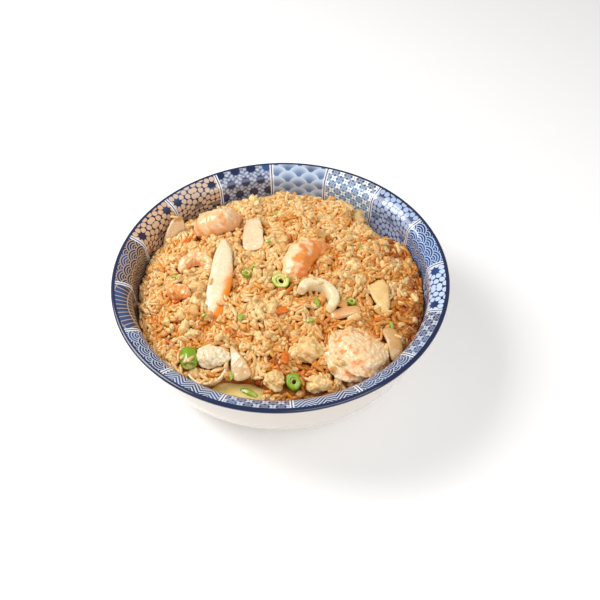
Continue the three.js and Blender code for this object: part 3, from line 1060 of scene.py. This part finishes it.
def grain_template():
    """The corners and faces of a grain that reaches one unit each way from its middle."""
    along = -np.cos(np.linspace(0, math.pi, GRAIN_RINGS + 2))[1:-1] * 0.97
    cos, sin = circle(GRAIN_SIDES)
    girth = np.sqrt(1 - np.abs(along) ** 2.5) * (1 - 0.12 * along)
    rings = [np.c_[np.full(GRAIN_SIDES, place), size * cos, size * sin] for place, size in zip(along, girth)]
    return np.concatenate([*rings, [(-1, 0, 0), (1, 0, 0)]]), tube_faces(GRAIN_RINGS, GRAIN_SIDES)


def widened(cells, times):
    for _ in range(times):
        padded = np.pad(cells, 1)
        cells = padded[:-2, 1:-1] | padded[2:, 1:-1] | padded[1:-1, :-2] | padded[1:-1, 2:] | cells
    return cells


class Pile:
    """Lays things on the rice one after another, each on what is already there."""

    def __init__(self, surface, rng):
        self.surface = surface
        self.rng = rng
        edge_drop = 1.0 * smoothstep(68, 86, surface.radius)
        self.target = np.minimum(surface.level + surface.relief - TARGET_DROP - edge_drop, HIGHEST)
        self.height = surface.level - CORE_DEPTH + surface.relief * CORE_RELIEF - edge_drop
        exposed = surface.toppings > self.target + 0.4
        self.height = np.where(surface.under_topping, surface.toppings + 0.3, self.height)
        pool = pool_share(surface.x, surface.y) < 0.9
        self.height = np.where(pool & ~surface.under_topping, POOL_LEVEL, self.height)
        off_mass = np.hypot(surface.x - MASS_MIDDLE[0], surface.y - MASS_MIDDLE[1])
        mass_edge = (off_mass > 12) & (off_mass < MASS_REACH + 2)
        self.kept_clear = widened(exposed, 1) & ~mass_edge
        inside = surface.radius < INNER_WALL_RADIUS - 2.2
        self.free = np.argwhere(inside & (pool_share(surface.x, surface.y) > 0.9) & ~self.kept_clear)

    def lowest_of(self, tries):
        """The cell that lies furthest under the target, out of some drawn at random."""
        cells = self.free[self.rng.integers(0, len(self.free), tries)]
        need = (self.target - self.height)[cells[:, 0], cells[:, 1]]
        best = int(np.argmax(need))
        row, column = cells[best]
        jitter = self.rng.uniform(-0.5, 0.5, 2) * CELL
        x, y = place_of(row, column)
        return x + jitter[0], y + jitter[1], float(need[best])

    def lay(self, x, y, length, width, turn, wobble, sink):
        """Rests a thing there. Returns its middle's level and its slope, or None if there is no room."""
        along = np.array([-0.8, -0.4, 0.0, 0.4, 0.8]) * length / 2
        cos, sin = math.cos(turn), math.sin(turn)
        under = self.surface.index(x + along * cos, y + along * sin)
        if self.kept_clear[under].sum() > (self.rng.random() < 0.25):
            return None
        heights = self.height[under]
        ends = np.hypot(x + along[[0, -1]] * cos, y + along[[0, -1]] * sin)
        if ends.max() > INNER_WALL_RADIUS - WALL_CLEARANCE - width / 2:
            return None
        slope = (heights[3:].mean() - heights[:2].mean()) / (0.6 * length)
        slope = float(np.clip(slope, -0.6, 0.6) + wobble)
        supports = np.sort(heights - slope * along)
        ceiling = self.target[self.surface.index(x, y)] + PROUD + self.rng.normal(0, 0.45)
        level = float(min(supports[-3:].mean() + width * (0.5 - sink), ceiling))
        self.cover(x, y, length, width, turn, level, slope)
        return level, slope

    def cover(self, x, y, length, width, turn, level, slope):
        reach = int(length / 2 / CELL) + 2
        row, column = self.surface.index(x, y)
        rows = slice(max(0, row - reach), row + reach + 1)
        columns = slice(max(0, column - reach), column + reach + 1)
        dx = self.surface.x[rows, columns] - x
        dy = self.surface.y[rows, columns] - y
        cos, sin = math.cos(turn), math.sin(turn)
        ahead = dx * cos + dy * sin
        aside = dy * cos - dx * sin
        room = 1 - (2 * ahead / length) ** 2 - (2 * aside / width) ** 2
        top = level + slope * ahead + width / 2 * np.sqrt(np.maximum(room, 0))
        patch = self.height[rows, columns]
        self.height[rows, columns] = np.where(room > 0, np.maximum(patch, top), patch)


def pool_share(x, y):
    """0 in the middle of the pool of sauce, 1 at its edge."""
    across = (x - POOL_MIDDLE[0]) / POOL_REACH[0]
    inward = (y - POOL_MIDDLE[1]) / POOL_REACH[1]
    return np.hypot(across, inward)


def drawn(rng, mean, spread, least, greatest):
    return float(np.clip(rng.normal(mean, spread), least, greatest))


def lay_grains(pile, rng):
    """Every grain as (x, y, level, length, width, turn, slope, kind, tint)."""
    # Tone that wanders at random over the heap; darker towards the right, partly as painted shadow of
    # chopsticks that are not in the scene, and paler towards the back.
    tone_and_shadow = soft_grid(26, 1.7) + 0.6 * soft_grid(9, 5.2) + 0.005 * pile.surface.x - 0.005 * pile.surface.y
    tone_and_shadow = tone_and_shadow + 0.45 * smoothstep(20, 60, pile.surface.x) - 0.3 * smoothstep(25, 70, pile.surface.y)
    found = []
    for _ in range(GRAIN_TRIES):
        x, y, need = pile.lowest_of(14)
        length = drawn(rng, *GRAIN_LENGTHS)
        width = drawn(rng, *GRAIN_WIDTHS)
        turn = rng.uniform(0, 2 * math.pi)
        wobble = rng.normal(0, 0.26)
        if need < 0.4:
            continue
        laid = pile.lay(x, y, length, width, turn, wobble, 0.22)
        if laid is None:
            continue
        cell = pile.surface.index(x, y)
        # Grains in the clefts of the relief and grains lying deep under the target get darker kinds: painted
        # shade in the hollows.
        buried = float(np.clip(pile.target[cell] - laid[0] - 0.2, 0, 2.5))
        warmth_and_shade = rng.normal(0, 0.45) + 0.9 * tone_and_shadow[cell] - 0.28 * pile.surface.relief[cell]
        warmth_and_shade = warmth_and_shade + 0.8 * buried - 0.2
        kind = int(np.digitize(warmth_and_shade, WARMTH_AND_SHADE_STEPS))
        found.append((x, y, laid[0], length, width, turn, laid[1], kind, rng.uniform()))
    return np.array(found)


def turned_any_way(rng):
    return Quaternion(rng.normal(size=4)).normalized().to_matrix()


def lay_crumbs(pile, rng, levels, count, largest):
    """Crumbs of egg all over the rice, at these levels."""
    templates = [curd((1.25, 1, 0.75), 0.3, 3.7, 1.1 + 2.3 * k, 0.42, 0.2, 0.3, 3) for k in range(12)]
    crumbs = []
    for _ in range(count):
        row, column = pile.free[rng.integers(0, len(pile.free))]
        x, y = place_of(row, column)
        size = float(np.clip(rng.lognormal(1.35, 0.32), 2.2, largest))
        too_high = levels[row, column] + 0.8 * size > HIGHEST + 3.4
        if too_high or math.hypot(x, y) > INNER_WALL_RADIUS - 3 - size * 0.6:
            continue
        template = templates[rng.integers(0, len(templates))]
        level = float(levels[row, column]) + 0.14 * size
        crumb = Body(template.corners * size, template.faces, **template.values)
        crumbs.append(crumb.moved(turned_any_way(rng), (x, y, level)))
        pile.cover(x, y, size, size, 0, level, 0)
    return joined(crumbs)


def lay_clumps(pile):
    """The larger clumps, set into the heap before its grains."""
    clumps = []
    for number, (x, y, length, width, height, turn) in enumerate(PALE_BITS):
        body = curd((length, width, height), 0.16, 3.6, 0.9 + number, 2.4, 1.3, 0.15, 4)
        level = float(pile.target[pile.surface.index(x, y)]) + 0.05 * height
        clumps.append(body.moved(turned(turn).to_matrix(), (x, y, level)))
        pile.cover(x, y, length * 0.9, width * 0.9, math.radians(turn), level + 0.1 * height, 0)
    return joined(clumps)


# Bits of scallion on the rice, each placed from a topping near it: the topping, millimetres to
# its right and behind it, the bit's length, width and turn, and whether it is a whole ring.
SCALLION_BITS = [
    ("scallion_front", -25, 0, 11, 3.4, -28, False),
    ("onion_petal", -4, -6, 9, 3.0, 80, False),
    ("squid_ring", 20, -4, 4.8, 4.4, 10, True),
    ("squid_ring", 0, -4, 7, 3.0, 96, False),
    ("squid_ring", -4, -18, 5, 2.4, 20, False),
    ("flat_slice", 14, 24, 5, 3.0, 120, False),
    ("flat_slice", 23, 13, 4, 2.2, 40, False),
    ("flat_slice", 10, -12, 4.5, 2.8, 15, False),
    ("scallion_centre", -20, 4, 5.4, 5.0, 30, True),
    ("shrimp_small", -3, 12, 5.5, 3.6, 160, False),
    ("long_slice", 14, -33, 5, 3.0, 60, False),
    ("scallion_centre", -16, 10, 3.6, 3.4, 0, True),
    ("shrimp_centre", 33, 12, 4, 2.2, 75, False),
    ("onion_chunk", -6, 26, 4, 2, 20, False),
    ("curl_slice", 0, 12, 5, 2.6, 100, False),
]

# Bits of carrot, placed in the same way: topping, right, behind, length, width and turn.
CARROT_BITS = [
    ("egg_middle", -12, -8, 8, 4.2, 84),
    ("scallion_centre", 1, -21, 8, 5, 10),
    ("flat_slice", 10, -2, 5, 3.4, 40),
    ("shrimp_small", -2, -4, 4.5, 3.2, 20),
    ("egg_fold", -2, -18, 3.6, 2.8, 0),
    ("shrimp_back", -19, -12, 6, 4, 60),
    ("shrimp_centre", 13, 21, 3.4, 2.4, 130),
    ("onion_chunk", 8, 14, 3, 2.2, 75),
]

# Pale clumps of egg in the rice: x, y, length, width, height and turn.
PALE_BITS = [
    (-5.6, -27.4, 12, 8, 7, 75),
    (44, 9, 12, 9, 7, 20),
    (47.5, -1.5, 9, 7, 6, 80),
    (-50, -38, 10, 7, 5, 10),
    (-14, 52, 10, 7, 5, 150),
    (28, 52, 11, 8, 6, 30),
    (48, 62, 13, 10, 8, 70),
    (-66, 22, 9, 7, 5, 40),
    (-12, -44, 10, 7, 5, 120),
    (33, -42, 9, 6, 5, 35),
    (-48, -14, 12, 9, 6, 60),
    (0, 30, 9, 7, 5, 15),
    (62, 14, 9, 7, 5, 100),
    (-36, 28, 8, 6, 5, 30),
]


def beside(topping, right, behind):
    """The place so many millimetres to the right of a topping's middle and behind it."""
    low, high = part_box(topping)
    return (low.x + high.x) / 2 / MM + right, (low.y + high.y) / 2 / MM + behind


def on_the_rice(body, pile, x, y, turn, sink, tilt=0.0):
    """The body resting on what is already piled there, sunk into it by so many millimetres."""
    level = float(pile.height[pile.surface.index(x, y)])
    depth = -body.corners[:, 2].min()
    return body.moved((turned(turn) @ turned(tilt, AHEAD)).to_matrix(), (x, y, level + depth - sink))


def make_bits(pile, materials):
    rings = []
    for number, (topping, right, behind, length, width, turn, whole) in enumerate(SCALLION_BITS):
        if whole:
            bit = scallion(width / 2, width / 4, 3.0, number)
        else:
            widths = [width * 0.6, width, width * 0.7]
            bit = slice_of(length, widths, 1.1, 1.0, 0.4, number + 0.3, skinned, 0.12, 0.4)
        rings.append(on_the_rice(bit, pile, *beside(topping, right, behind), turn, 0.4, 12))
    add_piece(joined(rings).mesh("scallion_bits"), materials["scallion"])
    carrots = []
    for number, (topping, right, behind, length, width, turn) in enumerate(CARROT_BITS):
        bit = slice_of(length, [width, width * 0.9], 2.6, 0.3, 0, number + 0.6, fine=0.5)
        carrots.append(on_the_rice(bit, pile, *beside(topping, right, behind), turn, 1.0, 10))
    add_piece(joined(carrots).mesh("carrot_bits"), carrot_material())


def skinned(along, side, top):
    return 0.55 + 0.45 * np.abs(side)


def carrot_material():
    graph = Graph(
        "carrot", Subsurface_Weight=0.3, Subsurface_Scale=0.0015, Coat_Weight=0.4, Coat_Roughness=0.15
    )
    graph.colour(graph.blotches(0.6, 2.0, 0.3, 0.7, (226, 122, 8), (206, 98, 2)))
    graph.roughness(0.3, 0.45)
    graph.bump(graph.noise(0.9, 2.0), 0.2, 0.5)
    return graph.material


def lay_strays(pile, rng, count=30):
    """Grains that lie on the toppings, near their edges."""
    near_rice = widened(~pile.surface.under_topping, 3)
    edges = np.argwhere(pile.surface.under_topping & near_rice & (pile.surface.radius < 84))
    found = []
    for row, column in edges[rng.integers(0, len(edges), count)]:
        x, y = place_of(row, column)
        length = rng.uniform(3.6, 6.2)
        level = float(pile.surface.toppings[row, column]) + 0.5
        found.append((x, y, level, length, 2.1, rng.uniform(0, 2 * math.pi), rng.normal(0, 0.15), 0, 0.4))
    return np.array(found)


def grain_corners(template, grains, rng):
    """The corners of every grain, n x corners x 3, in millimetres."""
    x, y, level, length, width, turn, slope = grains[:, :7].T
    count = len(grains)
    along = template[None, :, 0] * length[:, None] / 2
    bow = rng.normal(0, 0.22, (count, 1)) * (1 - template[None, :, 0] ** 2)
    roll = rng.uniform(0, 2 * math.pi, (count, 1))
    flat = rng.uniform(0.78, 0.95, (count, 1))
    side = template[None, :, 1] * width[:, None] / 2
    rise = template[None, :, 2] * width[:, None] / 2 * flat
    aside = side * np.cos(roll) - rise * np.sin(roll) + bow
    above = side * np.sin(roll) + rise * np.cos(roll)
    pitch = np.arctan(slope)[:, None]
    ahead = along * np.cos(pitch) - above * np.sin(pitch)
    up = along * np.sin(pitch) + above * np.cos(pitch)
    cos, sin = np.cos(turn)[:, None], np.sin(turn)[:, None]
    return np.stack(
        [
            x[:, None] + ahead * cos - aside * sin,
            y[:, None] + ahead * sin + aside * cos,
            level[:, None] + up,
        ],
        2,
    )


# Each kind's lighter and darker colour, mixed at random over its grains. The darker kinds go to grains in
# hollows and deep in the heap, so their colours are partly painted shade.
GRAIN_COLOURS = {
    "pale": ((244, 204, 144), (236, 180, 106)),
    "golden": ((228, 166, 82), (218, 148, 58)),
    "amber": ((214, 136, 38), (204, 116, 20)),
    "browned_and_shaded": ((190, 98, 10), (166, 74, 3)),
}


def grain_material(kind):
    light, dark = GRAIN_COLOURS[kind]
    graph = Graph(
        "rice_" + kind,
        Subsurface_Weight=0.5,
        Subsurface_Radius=(1.0, 0.8, 0.5),
        Subsurface_Scale=0.0012,
        Coat_Weight=0.4,
        Coat_Roughness=0.14,
    )
    tint = graph.attribute("tint")
    mottled = graph.step(tint * 0.7 + graph.noise(0.35, 2.0) * 0.6, 0.25, 1.05)
    graph.colour(graph.mix(mottled, srgb(*light), srgb(*dark)))
    graph.roughness(0.3, 0.48, 0.9)
    graph.bump(graph.noise(1.1), 0.12, 0.35)
    return graph.material


def make_grains(grains, rng):
    template, faces = grain_template()
    for number, kind in enumerate(KINDS):
        mine = grains[grains[:, 7] == number]
        corners = grain_corners(template, mine, rng)
        first = np.arange(len(mine))[:, None, None] * len(template)
        mesh = mesh_of("rice_" + kind, corners.reshape(-1, 3), (faces[None] + first).reshape(-1, 3))
        add_value(mesh, "tint", np.repeat(mine[:, 8], len(template)))
        add_piece(mesh, grain_material(kind))


# ---------------------------------------------------------------- rice under the grains


def core_material():
    graph = Graph(
        "rice_core", Subsurface_Weight=0.2, Subsurface_Radius=(1.0, 0.5, 0.2), Subsurface_Scale=0.002
    )
    # Dark orange-brown, darker than any grain: painted shade between the grains.
    graph.colour(graph.blotches(0.3, 3.0, 0.35, 0.65, (154, 70, 4), (198, 114, 20)))
    graph.roughness(0.4, 0.6)
    graph.bump(graph.noise(0.5, 3.0), 0.6, 0.7)
    return graph.material


def make_core(surface):
    """The rice under the loose grains, coloured darker than them as painted shade between the grains: a lumpy
    top, and under it the bowl's own inside.
    """
    rings = 110
    sides = 300
    edge = INNER_WALL_RADIUS - 1.2
    cos, sin = circle(sides)
    corners = []
    relief = surface.relief * CORE_RELIEF + 0.6 * soft_grid(3, 2.2, 2)
    for share in np.linspace(0.01, 1, rings):
        x = share * edge * cos
        y = share * edge * sin
        place = surface.index(x, y)
        under_pool = 5 * smoothstep(1.1, 0.9, pool_share(x, y))
        level = surface.level[place] - CORE_DEPTH * 0.75 + relief[place] - under_pool
        corners.append(np.c_[x, y, level])
    profile = bezier(
        14,
        (edge, 38),
        (edge, 27),
        (INNER_WALL_RADIUS - 6, FLOOR_LEVEL + 2),
        (30, FLOOR_LEVEL + 1.2),
    )
    for radius, level in [*profile, (0.5, FLOOR_LEVEL + 1)]:
        corners.append(hoop(radius, level, cos, sin))
    top = (0, 0, surface_level(0, 0) - CORE_DEPTH * 0.75 + float(relief[surface.index(0, 0)]))
    count = len(corners)
    corners = np.concatenate([*corners, [top, (0, 0, FLOOR_LEVEL + 1)]])
    mesh = mesh_of("rice_core", corners, tube_faces(count, sides)[:, ::-1])
    add_piece(mesh, core_material(), ["rice_heap"])


# ---------------------------------------------------------------- sauce

POOL_MIDDLE = (-24.0, -76.0)
POOL_REACH = (18.0, 10.0)
POOL_LEVEL = 43.4
POOL_DEPTH = 5


def make_pool():
    """The thin sauce that stands against the wall at the front."""
    sides = 96
    rings = 14
    turn = np.linspace(0, 2 * math.pi, sides, endpoint=False)
    outline = 1 + 0.08 * np.sin(3 * turn + 1) + 0.05 * np.sin(7 * turn)
    corners = []
    for share in np.linspace(0.03, 1, rings):
        x = POOL_MIDDLE[0] + share * outline * POOL_REACH[0] * np.cos(turn)
        y = POOL_MIDDLE[1] + share * outline * POOL_REACH[1] * np.sin(turn)
        pull = np.minimum(1, (INNER_WALL_RADIUS - 0.7) / np.hypot(x, y))
        dip = 1.2 * smoothstep(0.8, 1, share) ** 2
        corners.append(np.c_[x * pull, y * pull, np.full(sides, POOL_LEVEL - dip)])
    corners.append(corners[-1] - (0, 0, POOL_DEPTH))
    faces = tube_faces(len(corners), sides)[:, ::-1]
    ends = [(*POOL_MIDDLE, POOL_LEVEL), (*POOL_MIDDLE, POOL_LEVEL - POOL_DEPTH)]
    mesh = mesh_of("sauce", np.concatenate([*corners, ends]), faces)
    add_piece(mesh, sauce_material())


def sauce_material():
    graph = Graph(
        "sauce", Subsurface_Weight=0.4, Subsurface_Scale=0.002, Coat_Weight=0.6, Coat_Roughness=0.06
    )
    graph.colour(graph.blotches(0.12, 3.0, 0.35, 0.65, (238, 212, 142), (228, 198, 122)))
    graph.roughness(0.14, 0.26, 0.4)
    graph.bump(graph.noise(0.16, 2.0), 0.4, 0.4)
    return graph.material


# ---------------------------------------------------------------- stage


FLOOR_REACH = 4000
SKY_STRENGTH = 0.36
LIGHTS_AIM = (0, 0, 0.04)


def make_stage():
    scene = bpy.context.scene
    scene.view_settings.view_transform = "Standard"
    far = FLOOR_REACH
    corners = [(-far, -far, 0), (far, -far, 0), (far, far, 0), (-far, far, 0)]
    mesh = mesh_of("floor", corners, [(0, 1, 2), (0, 2, 3)])
    floor = bpy.data.objects.new("floor", mesh)
    scene.collection.objects.link(floor)
    paper = Graph("floor", Roughness=0.7, Emission_Color=(1.0, 1.0, 1.0, 1.0), Emission_Strength=0.1)
    paper.colour(paper.mix(paper.noise(0.004, 1.0), srgb(252, 252, 252), srgb(253, 253, 252)))
    mesh.materials.append(paper.material)
    world = bpy.data.worlds.new("studio")
    world.use_nodes = True
    background = world.node_tree.nodes["Background"]
    background.inputs["Color"].default_value = (1.0, 1.0, 1.0, 1)
    background.inputs["Strength"].default_value = SKY_STRENGTH
    scene.world = world
    add_light("key", (-0.46, 0.12, 0.58), 0.42, 4.65, (1.0, 0.98, 0.95))
    add_light("fill", (0.35, -0.50, 0.65), 0.60, 3.2, (0.98, 0.98, 1.0))


def add_light(name, place, size, power, colour):
    """A square light, its place and size in metres and its power in watts."""
    data = bpy.data.lights.new(name, "AREA")
    data.size = size
    data.energy = power
    data.color = colour
    light = bpy.data.objects.new(name, data)
    light.location = place
    light.rotation_euler = (Vector(LIGHTS_AIM) - Vector(place)).to_track_quat("-Z", "Y").to_euler()
    bpy.context.scene.collection.objects.link(light)


# The camera looks at the middle of the rim, in degrees and millimetres, and is then shifted in its own plane.
CAMERA_ELEVATION = 48.67
CAMERA_ROLL = -0.565
CAMERA_DISTANCE = 550.0
CAMERA_RIGHT = 11.6
CAMERA_DOWN = 16.7
CAMERA_LENS = 55.7


def make_camera():
    data = bpy.data.cameras.new("camera")
    data.lens = CAMERA_LENS
    data.clip_start = 0.01
    camera = bpy.data.objects.new("camera", data)
    bpy.context.scene.collection.objects.link(camera)
    rise = math.radians(CAMERA_ELEVATION)
    back = Vector((0, -math.cos(rise), math.sin(rise)))
    right = Vector((1, 0, 0))
    up = back.cross(right)
    roll = math.radians(CAMERA_ROLL)
    rolled_right = right * math.cos(roll) + up * math.sin(roll)
    rolled_up = up * math.cos(roll) - right * math.sin(roll)
    turn = Matrix((rolled_right, rolled_up, back)).transposed().to_4x4()
    middle = Vector((0, 0, BOWL_HEIGHT))
    place = middle + back * CAMERA_DISTANCE + rolled_right * CAMERA_RIGHT - rolled_up * CAMERA_DOWN
    camera.matrix_world = Matrix.Translation(place * MM) @ turn
    bpy.context.scene.camera = camera


# ---------------------------------------------------------------- making


def main():
    make_camera()
    make_stage()
    make_bowl()
    toppings = make_toppings()
    materials = add_toppings(toppings)
    surface = Surface(toppings.values())
    make_core(surface)
    make_pool()
    rng = np.random.default_rng(SEED)
    pile = Pile(surface, rng)
    clumps = lay_clumps(pile)
    crumbs = lay_crumbs(pile, rng, pile.target, count=380, largest=7.5)
    grains = lay_grains(pile, rng)
    loose = lay_crumbs(pile, rng, pile.height - 0.4, count=120, largest=4.6)
    add_piece(joined([clumps, crumbs, loose]).mesh("egg_crumbs"), materials["egg"])
    make_grains(np.concatenate([grains, lay_strays(pile, rng)]), rng)
    make_bits(pile, materials)


main()
